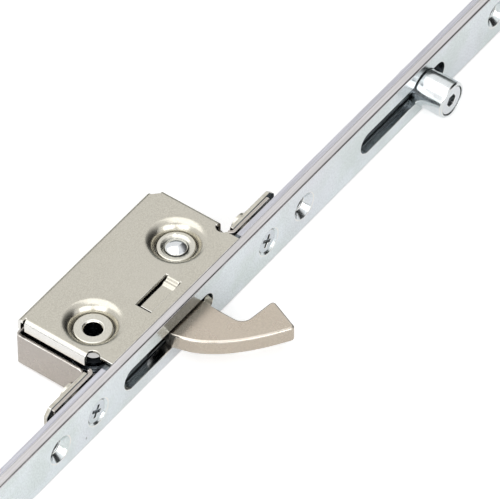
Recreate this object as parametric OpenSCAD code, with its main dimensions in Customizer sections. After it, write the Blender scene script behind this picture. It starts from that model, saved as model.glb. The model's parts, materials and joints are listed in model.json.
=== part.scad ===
// Hook and roller stretch of a multipoint door lock, lying on its side.
// X runs along the strip, Y runs from the front of the faceplate into the door, Z is up.
// The origin lies on the front face, midway between the two fixing holes beside the hook case.
// The rest pose is the locked one: hook out, roller near the right end of its slot.

/* [Faceplate] */
// Width of the faceplate, as seen from the door's edge
face_w = 20; // [19:0.25:22]
// Thickness of the faceplate
face_t = 3; // [2.5:0.1:3.5]
// Length of the strip to the left of the origin
face_left = 112; // [110:1:140]
// Length of the strip to the right of the origin
face_right = 204; // [202:1:240]
// Radius of the long edges
face_edge_r = 0.7; // [0.2:0.1:1]
// Reach of the hook slot to the left of the origin
hook_slot_left = 30; // [28.5:0.25:31]
// Reach of the hook slot to the right of the origin
hook_slot_right = 14.5; // [13.5:0.25:15]
// Reach of the roller slot to the left of the roller's stud
roller_slot_left = 33.1; // [22:0.1:36]
// Reach of the roller slot to the right of the roller's stud
roller_slot_right = 11.9; // [8:0.1:12.5]
// Height of the roller slot
roller_slot_h = 8; // [7.9:0.1:8.4]
// Distance from the origin to each fixing hole beside the case
fixing_x = 61.5; // [61:0.25:63]
// Place of the further fixing hole beyond the roller
outer_fixing_x = 165; // [160:0.5:168]
// Diameter of the fixing holes
fixing_d = 5.2; // [4.6:0.1:5.4]
// Diameter of each countersink at the front face
sink_d = 9.8; // [9:0.1:10.2]

/* [Drive rail] */
// Distance of the drive rail's edges from the long edges of the faceplate
rail_inset = 2; // [1.5:0.1:2.5]
// Thickness of the drive rail
rail_t = 2.5; // [2.3:0.1:2.8]
// Reach of the drive rail to the left of the origin, hook out
rail_left = 95.5; // [92:0.5:95.5]
// Reach of the drive rail to the right of the origin
rail_right = 196; // [194:0.5:200]
// Running gap in front of and behind the drive rail
rail_gap = 0.2; // [0.15:0.05:0.3]
// Diameter of the coupling hole at each end of the drive rail
coupling_d = 5; // [4:0.1:6]
// Distance of each coupling hole from the end of the rail
coupling_inset = 6; // [5:0.25:7]

/* [Rack and gear sector] */
// Gear module of the rack and of the hook's sector
gear_module = 1.5; // [1.45:0.01:1.55]
// Clearance between the teeth and the bars of the rack, along the rail
tooth_clearance = 0.2; // [0.15:0.01:0.3]
// Swing of the hook from locked to fully drawn in, in degrees
hook_throw = 66; // [65:0.25:67]

/* [Hook] */
// Thickness of the hook
hook_t = 6; // [5:0.25:6.2]
// Place of the hook's pivot along the strip
pivot_x = 19.7; // [19.5:0.1:20.3]
// Reach of the hook's nose in front of the faceplate
hook_reach = 29; // [28:0.25:29.25]
// Length of the claw's end face, from nose to beak
claw_len = 12.1; // [11:0.1:13]
// Radius of the throat between arm and claw
throat_r = 3.6; // [3:0.1:4]
// Diameter of the hook's pivot pin
pin_d = 7.2; // [6.5:0.1:7.8]
// Thickness of the washers on both sides of the hook
washer_t = 1; // [0.8:0.05:1]
// Diameter of the washers
washer_d = 13; // [11:0.25:15]

/* [Case] */
// Gap between the gear sector and the end wall of the case
case_side_gap = 0.35; // [0.3:0.05:1]
// Distance of the case's two flat faces from the long edges of the faceplate
case_inset = 0.5; // [0.25:0.05:0.6]
// Room behind the hook's pivot inside the case
case_back_room = 18.2; // [18:0.1:20]
// Thickness of the sheet that both shells are pressed from
sheet_t = 1.2; // [1:0.05:1.4]
// Depth of the flange folded down round the cover
cover_flange = 4.5; // [4:0.1:4.8]
// Slit between the cover's flange and the walls of the tray
shell_slit = 1.2; // [0.6:0.1:1.4]
// Sideways play between the cover's flange and the side walls of the tray
side_lap = 0.2; // [0.1:0.05:0.3]
// Outer radius of the folds
fold_r = 1.6; // [1.5:0.1:2]
// Diameter of each pressed dish at its rim
dish_d = 20.4; // [19:0.1:20.5]
// Diameter of the flat floor of each dish
dish_floor_d = 12.9; // [12.8:0.1:15]
// Sideways play between a collar and the wall of its dish
collar_play = 0.25; // [0.15:0.05:0.5]
// Height of each collar above the floor of its dish
collar_h = 1.5; // [1:0.1:1.8]
// Diameter of the hole in each guide button
button_hole_d = 5.8; // [5:0.1:6.4]
// Place of the guide buttons along the strip, left of the origin
button_x = 22; // [21:0.25:23]

/* [Feet and screws] */
// Reach of the left foot beyond the case
foot_left = 18.9; // [17:0.1:20]
// Reach of the right foot beyond the case
foot_right = 18; // [17:0.1:20]
// Height of the feet
foot_h = 11.7; // [10.5:0.1:14]
// Distance from the back of the drive rail to the feet
foot_gap = 1.8; // [1.5:0.05:2]
// Thickness of the stiffening plate behind each foot
foot_plate_t = 1.5; // [1.4:0.05:1.8]
// Distance from the origin to each case screw
screw_x = 43; // [42.5:0.1:43.5]
// Diameter of the case screws
screw_d = 4.8; // [4:0.1:5]
// Outer diameter of the spacers round the case screws
spacer_d = 7; // [6.5:0.1:7.4]
// Outer diameter of the press nuts behind the feet
nut_d = 8.6; // [8:0.1:9.5]
// Length of the press nuts behind the feet
nut_len = 1.8; // [1.5:0.1:4]

/* [Roller] */
// Diameter of the roller
roller_d = 12.6; // [12:0.1:13.5]
// Distance from the faceplate to the roller's end
roller_reach = 10.6; // [9.5:0.1:12]
// Place of the roller's stud along the strip, hook out
stud_x = 124.5; // [122:0.25:126]
// Offset of the roller's axis from the stud, which sets the door's pressure
eccentric = 1; // [0.6:0.05:1.1]
// Diameter of the stud's shoulder in the roller slot
shoulder_d = 7.4; // [7:0.05:7.5]
// Diameter of the journal that the roller turns on
journal_d = 8; // [7.8:0.05:8.6]
// Diameter of the stud's neck in the drive rail
neck_d = 5; // [4.5:0.1:5.5]
// Thickness of the flat washer on the neck, behind the drive rail
stud_washer_t = 0.8; // [0.6:0.05:1.2]
// Outer diameter of the two washers on the neck
stud_washer_d = 10.2; // [9.5:0.1:12]
// Width across the flats of the hexagon socket
socket_af = 4; // [3:0.25:4.5]
// Depth of the hexagon socket
socket_depth = 4; // [3:0.25:6]

/* [Hidden] */

// Radial play of a pin or neck that turns in its hole
run_play = 0.05;
// Free space beside anything that only has to pass
pass_gap = 0.3;
// Far enough to cut right through
past = 1;
round_fn = 96;
small_fn = 48;
arc_steps = 12;

// Colours of the finishes
bright_zinc = [0.83, 0.84, 0.85];
cover_grey = [0.75, 0.74, 0.70];
tray_satin = [0.78, 0.74, 0.71];
hook_nickel = [0.75, 0.69, 0.63];
chrome_steel = [0.88, 0.88, 0.89];

// Planes of the strip, from the front face inwards
rail_w = face_w - 2 * rail_inset;
rail_front = face_t + rail_gap;
rail_back = rail_front + rail_t;
foot_front = rail_back + foot_gap;
foot_back = foot_front + sheet_t;
plate_back = foot_back + foot_plate_t;

// Teeth that a full circle of the sector would have, and those that it has
gear_teeth = 18;
sector_teeth = 4;

// Rack and sector: the pitch line runs in the middle of the drive rail
pitch_r = gear_module * gear_teeth / 2;
pitch_step = PI * gear_module;
pitch_y = rail_front + rail_t / 2;
pivot_y = pitch_y + pitch_r;
pressure_angle = 20;
tooth_angle = 360 / gear_teeth;
base_r = pitch_r * cos(pressure_angle);
tip_r = pivot_y - face_t - pass_gap;
play_angle = tooth_clearance / 4 / pitch_r * 180 / PI;
tooth_sink = 0.5;
root_r = pivot_y - rail_back - pass_gap;
hub_step = 1.4;
rim_lead = 28;
rim_tail = 12;
stroke = hook_throw * PI / 180 * pitch_r;

// Rack windows, and the slots of faceplate and drive rail that the hook swings through
slot_side_gap = 1.1;
rail_side_gap = 0.5;
hook_slot_h = hook_t + 2 * slot_side_gap;
rail_slot_h = hook_t + 2 * rail_side_gap;
bar_side = pitch_step / 4 - tooth_clearance / 4;
rack_start = pivot_x - pitch_step / 2;

// Case planes
sector_reach = tip_r * cos((sector_teeth - 1) * tooth_angle - 90 + flank_angle(tip_r));
case_x = pivot_x + sector_reach + case_side_gap + sheet_t;
case_z = face_w / 2 - case_inset;
case_back = pivot_y + case_back_room + sheet_t;
flange_z = case_z - cover_flange;
wall_z = flange_z - shell_slit;
tray_x = case_x + side_lap + sheet_t;
tongue_inset = 2.4;
tongue_x = case_x - tongue_inset;
relief_r = 2.3;
relief_inset = 1.4;
relief_y = foot_back + relief_r / 2;
side_bite = 0.4;
side_start = relief_y + relief_r - side_bite;
corner_cut = 3.5;
corner_slit = 0.4;
fold_run = 0.5;
wall_start = foot_back + relief_r;
wall_corner_r = 2.5;
foot_bend_r = fold_r + 0.4;
bend_x = tray_x + foot_bend_r - sheet_t;
bend_y = foot_front + foot_bend_r;
bend_run = 0.2;
notch_z = -0.5;
plate_start_gap = 0.2;
plate_over_left = 2;
plate_over_right = 4;
plate_tip_cut = 2.2;

// Dishes: deep enough to hold the washers beside the hook
washer_gap = 0.1;
washer_room = 0.2;
dish_under_z = hook_t / 2 + washer_gap + washer_t + washer_room;
dish_floor_z = dish_under_z + sheet_t;
dish_depth = case_z - dish_floor_z;
dish_run = (dish_d - dish_floor_d) / 2;
dish_lap = 0.3;

// Lanced tongue of the cover and the window that it lies in
lance_x0 = -8.5;
lance_x1 = 6.9;
lance_y0 = 6.4;
lance_y1 = 12.1;
lance_end_gap = 1.3;
lance_front_gap = 0.35;
lance_back_gap = 0.8;
lance_drop = 1.4;
lance_step_run = 1.9;
lance_step_drop = 0.8;
lance_ramp = 3.7;
lance_steepness = 1.6;

// Case screws, with their spacers and press nuts
thread_gap = 0.1;
nut_bore_d = screw_d + 2 * thread_gap;
spacer_bore_d = screw_d + 2 * pass_gap;
screw_hole_d = screw_d + 0.4;
nut_shoulder = 0.8;
nut_neck_d = nut_d - 2 * nut_shoulder;
nut_seat_d = nut_neck_d + 2 * run_play;
head_top = 0.6;
head_rim = 0.25;
head_seat_gap = 0.05;
head_d = sink_d - 2 * (head_top + head_rim + head_seat_gap);
screw_proud = 0.6;
recess_w = 1.2;
recess_len = 4.8;
recess_depth = 1.6;
recess_turn = 30;
screw_end = plate_back + nut_len + screw_proud;

// Pivot pin and collars
bearing_d = pin_d + 2 * run_play;
pin_proud = 0.9;
pin_dome_r = 6.2;
pin_overlap = 1;
collar_step = 1.2;
collar_d = dish_floor_d - 2 * collar_play;
collar_neck_d = collar_d - 2 * collar_step;
collar_seat_d = collar_neck_d + 2 * run_play;
collar_top = dish_floor_z + collar_h;
collar_lip = 0.5;
collar_rim = 0.55;
bearing_slope_w = (collar_d - bearing_d) / 2 - collar_lip - collar_rim;
bearing_slope_h = 0.8;
guide_end = hook_t / 2 + pass_gap;

// Hook, measured from its pivot: X to the left is negative, the faceplate lies below
arm_left = 26.8;
arm_right = 10.7;
arm_throat = 10.2;
arm_bulge = 26.6;
bulge_drop = 14.4;
throat_drop = 7.5;
throat_x = 6.6;
throat_rise = 5;
beak_x = 1.2;
beak_drop = 0.9;
nose_x = 2.7;
nose_rise = 1.75;
claw_corner_r = 1.2;
back_end_x = 3.4;
back_end_rise = 0.75;
shoulder_x = 24.4;
shoulder_rise = 4.1;
shoulder_bevel_x = 0.6;
shoulder_bevel_rise = 1.7;
hub_x = 6.2;
hub_y = 8.8;
rim_start_x = 4.5;
rim_start_rise = 0.9;
neck_x = 7.7;
neck_rise = 3.1;
neck_bevel_x = 9.7;
neck_bevel_rise = 1.1;
root_rise = 0.5;

// Roller and its eccentric stud
roller_x = stud_x + eccentric;
roller_slot_start = stud_x - roller_slot_left;
roller_slot_end = stud_x + roller_slot_right;
roller_gap = 0.4;
roller_chamfer = 0.5;
shoulder_front = -0.2;
head_set_back = 0.3;
head_t = 1.3;
head_lip = 0.9;
head_gap = 0.35;
head_wide_d = journal_d + 2 * head_lip;
head_front = head_set_back - roller_reach;
head_back = head_front + head_t;
head_back_gap = 0.15;
neck_bore_d = neck_d + 2 * run_play;
washer_back = rail_back + stud_washer_t;
spring_t = 0.4;
spring_rise = 0.35;
spring_back = washer_back + spring_t + spring_rise;
tail_start = spring_back + run_play;
tail_t = 1.2;
tail_lip = 1.5;
tail_chamfer = 1;

function arc(cx, cy, r, a0, a1, n = arc_steps) =
    [for (i = [0:n]) [cx + r * cos(a0 + (a1 - a0) * i / n), cy + r * sin(a0 + (a1 - a0) * i / n)]];

function bend(a, c, b, n = arc_steps) =
    [for (i = [0:n]) let (t = i / n) (1 - t) * (1 - t) * a + 2 * t * (1 - t) * c + t * t * b];

module slot_2d(x0, x1, h) {
    translate([x0 + h / 2, 0]) circle(d = h, $fn = small_fn);
    translate([x1 - h / 2, 0]) circle(d = h, $fn = small_fn);
    translate([x0 + h / 2, -h / 2]) square([x1 - x0 - h, h]);
}

// Draws a shape of the X-Z plane and gives it depth along +Y
module along_y(y0, y1) {
    translate([0, y1, 0]) rotate([90, 0, 0]) linear_extrude(y1 - y0) children();
}

module rod_y(x, y0, y1, d, fn = small_fn) {
    translate([x, y1, 0]) rotate([90, 0, 0]) cylinder(h = y1 - y0, d = d, $fn = fn);
}

module cone_y(x, y0, y1, d0, d1) {
    translate([x, y0, 0]) rotate([-90, 0, 0]) cylinder(h = y1 - y0, d1 = d0, d2 = d1, $fn = small_fn);
}

module mirror_copy() {
    children();
    mirror([0, 0, 1]) children();
}

// Countersunk screw hole through the faceplate
module countersunk_hole(x, d) {
    sink_depth = (sink_d - d) / 2;
    rod_y(x, -past, face_t + past, d);
    cone_y(x, -0.01, sink_depth, sink_d, d);
}

// Section of the strip in the Y-Z plane, with its long edges rounded
module face_section() {
    for (y = [face_edge_r, face_t - face_edge_r], z = [-1, 1])
        translate([y, z * (face_w / 2 - face_edge_r)]) circle(r = face_edge_r, $fn = small_fn);
    translate([0, face_edge_r - face_w / 2]) square([face_t, face_w - 2 * face_edge_r]);
    translate([face_edge_r, -face_w / 2]) square([face_t - 2 * face_edge_r, face_w]);
}

module faceplate() {
    color(bright_zinc) difference() {
        translate([-face_left, 0, 0]) rotate([90, 0, 90])
            linear_extrude(face_left + face_right) face_section();
        along_y(-past, face_t + past) slot_2d(-hook_slot_left, hook_slot_right, hook_slot_h);
        along_y(-past, face_t + past)
            slot_2d(roller_slot_start, roller_slot_end, roller_slot_h);
        for (x = [-fixing_x, fixing_x, outer_fixing_x]) countersunk_hole(x, fixing_d);
        for (x = [-screw_x, screw_x]) countersunk_hole(x, screw_hole_d);
    }
}

// Window between two bars of the rack, wider towards the sector
module rack_window(k) {
    x = pivot_x + k * pitch_step;
    front = bar_space(rail_front - past);
    back = bar_space(rail_back + past);
    translate([x, 0, -rail_slot_h / 2]) linear_extrude(rail_slot_h) polygon([
        [-front, rail_front - past], [front, rail_front - past],
        [back, rail_back + past], [-back, rail_back + past]
    ]);
}

function bar_space(y) = pitch_step / 2 - bar_side + (y - pitch_y) * tan(pressure_angle);

module drive_rail() {
    screw_slot_h = spacer_d + 2 * pass_gap;
    bar_foot = bar_side + (pitch_y - rail_front) * tan(pressure_angle);
    color(bright_zinc) difference() {
        translate([-rail_left, rail_front, -rail_w / 2]) cube([rail_left + rail_right, rail_t, rail_w]);
        translate([stroke - hook_slot_left, rail_front - past, -rail_slot_h / 2])
            cube([rack_start - bar_foot + hook_slot_left - stroke, rail_t + 2 * past, rail_slot_h]);
        for (k = [0:sector_teeth - 1]) rack_window(k);
        along_y(rail_front - past, rail_back + past) {
            slot_2d(-fixing_x - screw_slot_h / 2, stroke - screw_x + screw_slot_h / 2, screw_slot_h);
            slot_2d(screw_x - screw_slot_h / 2, stroke + fixing_x + screw_slot_h / 2, screw_slot_h);
            slot_2d(outer_fixing_x - screw_slot_h / 2, stroke + outer_fixing_x + screw_slot_h / 2,
                screw_slot_h);
        }
        rod_y(stud_x, rail_front - past, rail_back + past, neck_bore_d);
        for (x = [coupling_inset - rail_left, rail_right - coupling_inset])
            rod_y(x, rail_front - past, rail_back + past, coupling_d);
    }
}

// L-shaped section of a folded edge: x runs outwards to 0, y up to 0, the leg hangs down
module fold_section(leg, run) {
    polygon(concat(
        [[-run, 0]], arc(-fold_r, -fold_r, fold_r, 90, 0),
        [[0, -leg], [-sheet_t, -leg]],
        arc(-fold_r, -fold_r, fold_r - sheet_t, 0, 90), [[-run, -sheet_t]]
    ));
}

// Folded edge of a shell whose flat face looks up at case_z
module folded_side(y0, y1, leg) {
    translate([case_x, y1, case_z]) rotate([90, 0, 0])
        linear_extrude(y1 - y0) fold_section(leg, fold_r + fold_run);
}

module folded_back(x0, x1, leg) {
    translate([x0, case_back, case_z]) rotate([90, 0, 90])
        linear_extrude(x1 - x0) fold_section(leg, fold_r + fold_run);
}

// Corner reliefs in the flat face of a shell
module reliefs() {
    for (x = [-1, 1]) translate([x * (case_x - relief_inset), relief_y])
        circle(r = relief_r, $fn = small_fn);
}

// Openings in the flat face of a shell that the dishes fill
module dish_openings() {
    for (x = [-button_x, pivot_x]) translate([x, pivot_y]) circle(d = dish_d, $fn = round_fn);
}

// Outline of the cover's flat face, with narrow front tongue and one cut back corner
module cover_outline() {
    inner_x = case_x - fold_r;
    inner_back = case_back - fold_r;
    difference() {
        polygon([
            [-tongue_x, face_t], [tongue_x, face_t], [tongue_x, relief_y], [inner_x, relief_y],
            [inner_x, case_back - corner_cut], [case_x - corner_cut, inner_back],
            [-inner_x, inner_back], [-inner_x, relief_y], [-tongue_x, relief_y]
        ]);
        reliefs();
        dish_openings();
    }
}

// Smooth S-shaped fall over a run and a drop, as points of a section
function steepen(t, k) = t < 0.5 ? pow(2 * t, k) / 2 : 1 - pow(2 - 2 * t, k) / 2;
function s_fall(x, z, run, drop, i0 = 0) = [for (i = [i0:arc_steps]) let (t = i / arc_steps)
    [x - run * t, z - drop * (1 - cos(180 * steepen(t, lance_steepness))) / 2]];

// Two soft steps by which the tongue goes down
function lance_fall(z) = concat(
    s_fall(lance_x1, z, lance_step_run, lance_step_drop),
    s_fall(lance_x1 - lance_step_run, z - lance_step_drop, lance_ramp - lance_step_run,
        lance_drop - lance_step_drop, 1)
);

// Bell-shaped wall of a dish, an elliptical quarter from its rim to its floor
function dish_wall() = [for (i = [0:2 * arc_steps]) let (a = 45 * i / arc_steps)
    [dish_d / 2 - dish_run * sin(a), dish_floor_z + dish_depth * cos(a)]];

// The same wall seen from below: one sheet thickness away, round the outside of the fold at the floor
function dish_under() = concat(
    [for (i = [0:2 * arc_steps]) let (
        a = 45 * i / arc_steps,
        b = atan2(dish_depth * sin(a), dish_run * cos(a))
    ) [dish_d / 2 - dish_run * sin(a) + sheet_t * sin(b),
       dish_floor_z + dish_depth * cos(a) - sheet_t * cos(b)]],
    arc(dish_floor_d / 2, dish_floor_z, sheet_t, -90 / arc_steps, -90)
);

module dish(x, hole_d) {
    under = dish_under();
    lap_r = dish_d / 2 + dish_lap;
    translate([x, pivot_y, 0]) rotate_extrude($fn = round_fn) polygon(concat(
        [[lap_r, case_z]], dish_wall(), [[hole_d / 2, dish_floor_z], [hole_d / 2, dish_under_z]],
        [for (i = [len(under) - 1:-1:0]) under[i]], [[lap_r, case_z - sheet_t]]
    ));
}

module dishes() {
    for (x = [pivot_x, -button_x]) dish(x, collar_seat_d);
}

// Section of the lanced tongue in the X-Z plane, held at its right end
module lance_section() {
    low = case_z - lance_drop;
    free = lance_x0 + lance_end_gap;
    under = lance_fall(case_z - sheet_t);
    polygon(concat(
        lance_fall(case_z), [[free, low], [free, low - sheet_t]],
        [for (i = [len(under) - 1:-1:0]) under[i]]
    ));
}

module case_cover() {
    side_end = case_back - fold_r - fold_run - corner_slit;
    color(cover_grey) union() {
        difference() {
            union() {
                translate([0, 0, case_z - sheet_t]) linear_extrude(sheet_t) cover_outline();
                folded_side(side_start, case_back - corner_cut, cover_flange);
                mirror([1, 0, 0]) folded_side(side_start, side_end, cover_flange);
                folded_back(-case_x, case_x - corner_cut, cover_flange);
            }
            translate([lance_x0, lance_y0, 0])
                cube([lance_x1 - lance_x0, lance_y1 - lance_y0, case_z + past]);
        }
        along_y(lance_y0 + lance_front_gap, lance_y1 - lance_back_gap) lance_section();
        dishes();
    }
}

// Foot bent outwards from the front of a side wall, on the right of the case
module foot(reach) {
    difference() {
        translate([0, 0, -foot_h / 2]) linear_extrude(foot_h) polygon(concat(
            [[tray_x + reach, foot_front], [tray_x + reach, foot_back]],
            arc(bend_x, bend_y, foot_bend_r - sheet_t, 270, 180),
            [[tray_x, bend_y + bend_run], [tray_x - sheet_t, bend_y + bend_run]],
            arc(bend_x, bend_y, foot_bend_r, 180, 270)
        ));
        rod_y(screw_x, foot_front - past, foot_back + past, nut_seat_d);
    }
    translate([tray_x - sheet_t, bend_y, -foot_h / 2])
        cube([sheet_t, wall_start + past - bend_y, foot_h / 2 + notch_z]);
}

// Tray without its openings, inset by s: folds below, rounded back corners, open at the top
module tray_block(s, top) {
    side = tray_x - s;
    back = case_back - s;
    low = s - case_z;
    fold_low = fold_r - case_z;
    r = fold_r - s;
    intersection() {
        along_y(face_t - s, back) polygon(concat(
            [[-side, top]], arc(fold_r - tray_x, fold_low, r, 180, 270),
            arc(tray_x - fold_r, fold_low, r, 270, 360), [[side, top]]
        ));
        translate([-side, 0, 0]) rotate([90, 0, 90]) linear_extrude(2 * side) polygon(concat(
            [[face_t - s, low]], arc(case_back - fold_r, fold_low, r, 270, 360),
            [[back, top]], arc(wall_start + wall_corner_r, top - wall_corner_r, wall_corner_r, 90, 180),
            [[wall_start, fold_low], [face_t - s, fold_low]]
        ));
        translate([0, 0, low]) linear_extrude(top - low) polygon(concat(
            [[-side, face_t - s], [side, face_t - s]], arc(tray_x - fold_r, case_back - fold_r, r, 0, 90),
            arc(fold_r - tray_x, case_back - fold_r, r, 90, 180)
        ));
    }
}

module case_tray() {
    color(tray_satin) union() {
        difference() {
            tray_block(0, wall_z);
            translate([0, 0, -case_z - past]) linear_extrude(past + fold_r) {
                reliefs();
                dish_openings();
            }
            for (m = [0, 1]) mirror([m, 0, 0]) translate([tongue_x, face_t - past, -case_z - past])
                cube([tray_x + past - tongue_x, wall_start + past - face_t, 2 * case_z]);
            tray_block(sheet_t, wall_z + past);
        }
        mirror([0, 0, 1]) dishes();
        foot(foot_right);
        mirror([1, 0, 0]) foot(foot_left);
    }
}

// Collar seated in a dish of the cover: broad ring above the floor, neck through it
module collar(x, bore_d, neck_end, slope_w, slope_h) {
    ring_r = collar_d / 2;
    bore_r = bore_d / 2;
    neck_r = collar_neck_d / 2;
    translate([x, pivot_y, 0]) rotate_extrude($fn = round_fn) polygon(concat(
        [[bore_r, neck_end], [neck_r, neck_end], [neck_r, dish_floor_z], [ring_r, dish_floor_z]],
        arc(ring_r - collar_lip, collar_top - collar_lip, collar_lip, 0, 90, 4),
        [[bore_r + slope_w, collar_top], [bore_r, collar_top - slope_h]]
    ));
}

module cover_pivot_collar() {
    color(tray_satin) collar(pivot_x, bearing_d, dish_under_z, bearing_slope_w, bearing_slope_h);
}

module tray_pivot_collar() {
    color(tray_satin) mirror([0, 0, 1])
        collar(pivot_x, bearing_d, dish_under_z, bearing_slope_w, bearing_slope_h);
}

module cover_guide_button() {
    color(tray_satin) collar(-button_x, button_hole_d, guide_end, collar_lip, collar_lip);
}

module tray_guide_button() {
    color(tray_satin) mirror([0, 0, 1]) collar(-button_x, button_hole_d, guide_end, collar_lip, collar_lip);
}

// Stiffening plate behind a foot, on the right of the case
module foot_plate(reach) {
    start = bend_x + plate_start_gap;
    end = tray_x + reach;
    color(bright_zinc) difference() {
        along_y(foot_back, plate_back) polygon([
            [start, -foot_h / 2], [end - plate_tip_cut, -foot_h / 2], [end, plate_tip_cut - foot_h / 2],
            [end, foot_h / 2 - plate_tip_cut], [end - plate_tip_cut, foot_h / 2], [start, foot_h / 2]
        ]);
        rod_y(screw_x, foot_back - past, plate_back + past, nut_seat_d);
    }
}

module left_foot_plate() {
    mirror([1, 0, 0]) foot_plate(foot_left + plate_over_left);
}

module right_foot_plate() {
    foot_plate(foot_right + plate_over_right);
}

// Press nuts: neck through foot and plate, body behind
module press_nuts() {
    color(bright_zinc) for (x = [-screw_x, screw_x]) difference() {
        union() {
            rod_y(x, foot_front, plate_back, nut_neck_d);
            rod_y(x, plate_back, plate_back + nut_len, nut_d);
        }
        rod_y(x, foot_front - past, plate_back + nut_len + past, nut_bore_d);
    }
}

module screw_spacers() {
    color(bright_zinc) for (x = [-screw_x, screw_x]) difference() {
        rod_y(x, face_t, foot_front, spacer_d);
        rod_y(x, face_t - past, foot_front + past, spacer_bore_d);
    }
}

// Countersunk screws with a cross recess
module case_screws() {
    cone_start = head_top + head_rim;
    cone = (head_d - screw_d) / 2;
    color(chrome_steel) for (x = [-screw_x, screw_x]) difference() {
        union() {
            rod_y(x, head_top, cone_start, head_d);
            cone_y(x, cone_start, cone_start + cone, head_d, screw_d);
            rod_y(x, cone_start, screw_end, screw_d);
        }
        for (a = [0, 90]) translate([x, 0, 0]) rotate([0, recess_turn + a, 0])
            translate([-recess_len / 2, -past, -recess_w / 2])
                cube([recess_len, past + recess_depth, recess_w]);
    }
}

// Involute function of a pressure angle, in degrees
function involute(a) = tan(a) * 180 / PI - a;

// Polar half angle of a tooth at radius r, no smaller than the base circle
function flank_angle(r) =
    90 / gear_teeth - play_angle + involute(pressure_angle) - involute(acos(base_r / r));

function tooth_point(r, a, side) =
    let (t = a + side * flank_angle(max(r, base_r))) [r * cos(t), r * sin(t)];

function tooth(a, steps = 6) = concat(
    [tooth_point(root_r - tooth_sink, a, -1)],
    [for (i = [0:steps]) tooth_point(base_r + (tip_r - base_r) * i / steps, a, -1)],
    [for (i = [steps:-1:0]) tooth_point(base_r + (tip_r - base_r) * i / steps, a, 1)],
    [tooth_point(root_r - tooth_sink, a, 1)]
);

// Claw and arm of the hook about the pivot: down the throat, round beak and nose, up the back
module hook_blade() {
    nose_y = -hook_reach - pivot_y;
    beak_y = nose_y + claw_len;
    root_y = root_rise - pivot_y;
    polygon(concat(
        [[-arm_right, root_y - root_rise], [-arm_throat, root_y - throat_drop]],
        arc(-throat_x, beak_y + throat_rise, throat_r, 178, 262, 8),
        arc(beak_x, beak_y - beak_drop, claw_corner_r, 82, -23, 5),
        arc(-nose_x, nose_y + nose_rise, claw_corner_r, -23, -122, 5),
        bend([-back_end_x, nose_y + back_end_rise], [-arm_bulge, root_y - bulge_drop], [-arm_left, root_y]),
        [[-arm_left + shoulder_bevel_x, root_y + shoulder_bevel_rise],
         [-shoulder_x, root_y + shoulder_rise], [-hub_x, hub_y], [0, 0],
         [-rim_start_x, rim_start_rise - root_r], [-neck_x, root_y + neck_rise],
         [-neck_bevel_x, root_y + neck_bevel_rise]]
    ));
}

// Toothed rim of the hook: the first tooth points straight at the rack when the hook is out
module hook_sector() {
    first = -90;
    last = first + (sector_teeth - 1) * tooth_angle;
    linear_extrude(hook_t)
        polygon(concat([[0, 0]], arc(0, 0, root_r, first - rim_lead, last + rim_tail, 2 * arc_steps)));
    for (k = [0:sector_teeth - 1]) linear_extrude(hook_t) polygon(tooth(first + k * tooth_angle));
}

module hook() {
    color(hook_nickel) translate([pivot_x, pivot_y, -hook_t / 2]) difference() {
        union() {
            linear_extrude(hook_t) hook_blade();
            cylinder(h = hook_t, r = root_r - hub_step, $fn = round_fn);
            hook_sector();
        }
        translate([0, 0, -past]) cylinder(h = hook_t + 2 * past, d = bearing_d, $fn = round_fn);
    }
}

// Pivot pin with a domed end in each collar
module hook_pin() {
    pin_end = collar_top + pin_proud;
    color(chrome_steel) translate([pivot_x, pivot_y, 0]) mirror_copy() intersection() {
        translate([0, 0, -pin_overlap]) cylinder(h = pin_end + pin_overlap, d = pin_d, $fn = round_fn);
        translate([0, 0, pin_end - pin_dome_r]) sphere(r = pin_dome_r, $fn = round_fn);
    }
}

module hook_washers() {
    color(bright_zinc) mirror_copy() translate([pivot_x, pivot_y, hook_t / 2 + washer_gap]) difference() {
        cylinder(h = washer_t, d = washer_d, $fn = small_fn);
        translate([0, 0, -past]) cylinder(h = washer_t + 2 * past, d = bearing_d, $fn = round_fn);
    }
}

// Eccentric stud: neck in the drive rail, shoulder in the slot, offset journal and head, riveted tail
module roller_stud() {
    tail_d = neck_d + 2 * tail_lip;
    color(chrome_steel) difference() {
        union() {
            rod_y(stud_x, rail_front - run_play, tail_start, neck_d);
            cone_y(stud_x, tail_start, tail_start + tail_t, tail_d, tail_d - 2 * tail_chamfer);
            rod_y(stud_x, shoulder_front, rail_front - run_play, shoulder_d);
            rod_y(roller_x, head_back, shoulder_front, journal_d);
            rod_y(roller_x, head_front, head_back, head_wide_d);
        }
        rod_y(roller_x, head_front - past, head_front + socket_depth, socket_af / cos(30), 6);
    }
}

module stud_washer() {
    color(bright_zinc) difference() {
        rod_y(stud_x, rail_back, washer_back, stud_washer_d);
        rod_y(stud_x, rail_back - past, washer_back + past, neck_bore_d);
    }
}

// Cupped washer whose friction holds the stud where it is set: outer edge in front, inner edge behind
module stud_spring_washer() {
    inner_r = neck_bore_d / 2;
    outer_r = stud_washer_d / 2;
    color(bright_zinc) translate([stud_x, spring_back, 0]) rotate([90, 0, 0]) rotate_extrude($fn = small_fn)
        polygon([
            [inner_r, 0], [outer_r, spring_rise], [outer_r, spring_rise + spring_t], [inner_r, spring_t]
        ]);
}

module roller_sleeve() {
    bore_end = past - roller_gap;
    chamfer_end = roller_chamfer - roller_reach;
    color(chrome_steel) difference() {
        union() {
            cone_y(roller_x, -roller_reach, chamfer_end, roller_d - 2 * roller_chamfer, roller_d);
            rod_y(roller_x, chamfer_end, -roller_gap, roller_d, round_fn);
        }
        rod_y(roller_x, -roller_reach - past, bore_end, journal_d + 2 * run_play);
        rod_y(roller_x, -roller_reach - past, head_back + head_back_gap, head_wide_d + 2 * head_gap);
    }
}

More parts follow.
